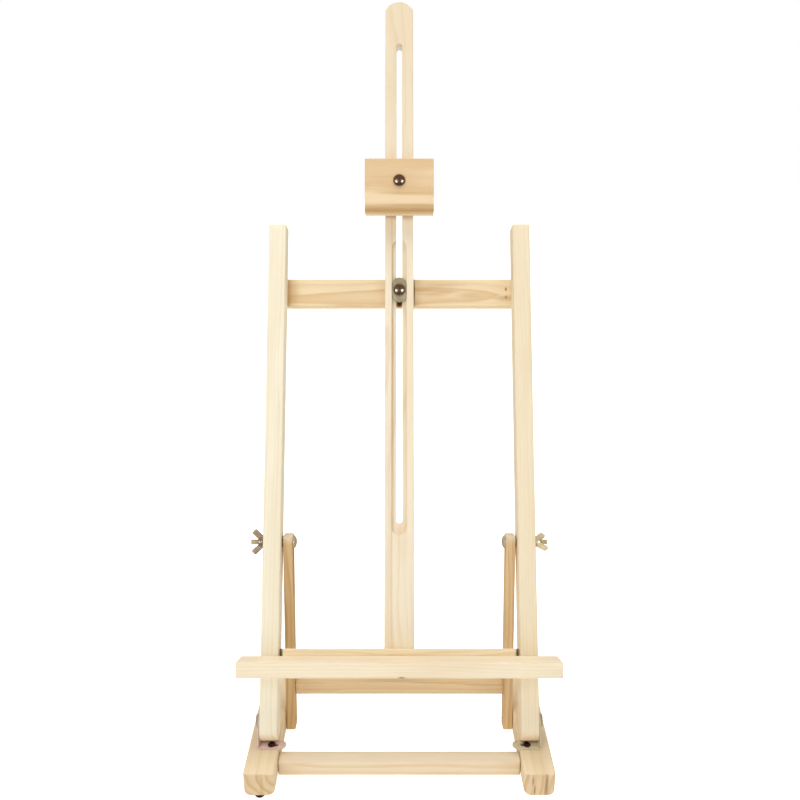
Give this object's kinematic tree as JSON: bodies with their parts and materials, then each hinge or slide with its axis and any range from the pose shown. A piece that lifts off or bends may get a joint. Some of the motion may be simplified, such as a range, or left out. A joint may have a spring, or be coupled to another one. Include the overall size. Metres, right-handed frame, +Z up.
{
  "type": "tabletop easel",
  "caption": "Wooden tabletop H-frame easel: sliding slotted mast with shelf bar and top clamp block, leaning uprights hinged to a runner base, slotted rear struts and wing nuts.",
  "frame": {"origin": "on the table under the centre of the bounding box", "axes": "+Z up, -Y is the easel's front where the painter stands, +X is the painter's right"},
  "size_m": [0.32, 0.4026, 0.7499],
  "materials": {
    "upright_wood": "satin clear oiled pine",
    "mast_wood": "satin clear oiled pine",
    "rail_wood": "satin clear oiled pine",
    "guide_wood": "satin clear oiled pine",
    "shelf_wood": "satin clear oiled pine",
    "base_wood": "satin clear oiled pine",
    "prop_wood": "satin stained beech",
    "block_wood": "satin clear oiled beech",
    "glide_rubber": "matt black",
    "dark_steel": "dark oxide",
    "steel": "polished zinc"
  },
  "bodies": {
    "base": {"runner_left": "base_wood", "runner_right": "base_wood", "hinge_plate_left": "steel", "hinge_plate_right": "steel", "hinge_plate_screw_left": "dark_steel", "hinge_plate_screw_right": "dark_steel", "front_bar_screw_left": "steel", "front_bar_screw_right": "steel", "rear_bar_screw_left": "steel", "rear_bar_screw_right": "steel", "glide_front_left": "glide_rubber", "glide_front_right": "glide_rubber", "glide_rear_left": "glide_rubber", "glide_rear_right": "glide_rubber", "base_front_bar": "base_wood", "base_rear_bar": "base_wood", "prop_pivot_screw_left": "steel", "prop_pivot_screw_right": "steel"},
    "easel_frame": {"upright_left": "upright_wood", "upright_right": "upright_wood", "hinge_screw_left": "steel", "hinge_screw_right": "steel", "rail_screw_low_left": "steel", "rail_screw_low_right": "steel", "rail_screw_high_left": "steel", "rail_screw_high_right": "steel", "top_rail": "rail_wood", "mast_slot_plate": "steel", "mast_bolt": "steel", "mast_washer": "steel", "prop_bolt_left": "steel", "prop_bolt_right": "steel", "prop_spacer_left": "steel", "prop_spacer_right": "steel", "prop_washer_left": "steel", "prop_washer_right": "steel"},
    "carriage": {"mast": "mast_wood", "guide_rail": "guide_wood", "shelf_bar": "shelf_wood", "mast_screw_1": "steel", "mast_screw_2": "steel", "shelf_screw_1": "steel", "shelf_screw_2": "steel"},
    "top_clamp": {"clamp_block": "block_wood", "clamp_bolt": "steel", "clamp_washer": "steel"},
    "prop_frame": {"strut_left": "prop_wood", "strut_right": "prop_wood", "prop_bar": "prop_wood", "prop_bar_screw_left": "steel", "prop_bar_screw_right": "steel"},
    "prop_nut_left": {"prop_wing_nut_left": "steel"},
    "prop_nut_right": {"prop_wing_nut_right": "steel"},
    "mast_nut": {"mast_wing_nut": "steel"},
    "clamp_nut": {"clamp_wing_nut": "steel"}
  },
  "joints": [
    {"name": "frame_tilt", "type": "hinge", "parent": "base", "child": "easel_frame", "pos_m": [0, -0.15101, 0.049], "axis": [-1, 0, 0], "range_deg": [0, 30]},
    {"name": "prop_swing", "type": "hinge", "parent": "base", "child": "prop_frame", "pos_m": [0, -0.11151, 0.0166], "axis": [-1, 0, 0], "range_deg": [0, 28]},
    {"name": "carriage_slide", "type": "slide", "parent": "easel_frame", "child": "carriage", "axis": [0, 0.4404, 0.8978], "range_m": [-0.037, 0.237]},
    {"name": "clamp_slide", "type": "slide", "parent": "carriage", "child": "top_clamp", "axis": [0, 0.4404, 0.8978], "range_m": [-0.036, 0.15]},
    {"name": "prop_nut_left_turn", "type": "hinge", "parent": "easel_frame", "child": "prop_nut_left", "pos_m": [-0.143, -0.06818, 0.20719], "axis": [-1, 0, 0], "continuous": true},
    {"name": "prop_nut_right_turn", "type": "hinge", "parent": "easel_frame", "child": "prop_nut_right", "pos_m": [0.143, -0.06818, 0.20719], "axis": [1, 0, 0], "continuous": true},
    {"name": "mast_nut_turn", "type": "hinge", "parent": "easel_frame", "child": "mast_nut", "pos_m": [0, 0.07279, 0.4371], "axis": [0, 0.8978, -0.4404], "continuous": true},
    {"name": "clamp_nut_turn", "type": "hinge", "parent": "top_clamp", "child": "clamp_nut", "pos_m": [0, 0.10997, 0.54696], "axis": [0, 0.8978, -0.4404], "continuous": true}
  ],
  "couplings": [
    {"joint": "prop_swing", "follows": "frame_tilt", "ratio": 0.93}
  ]
}
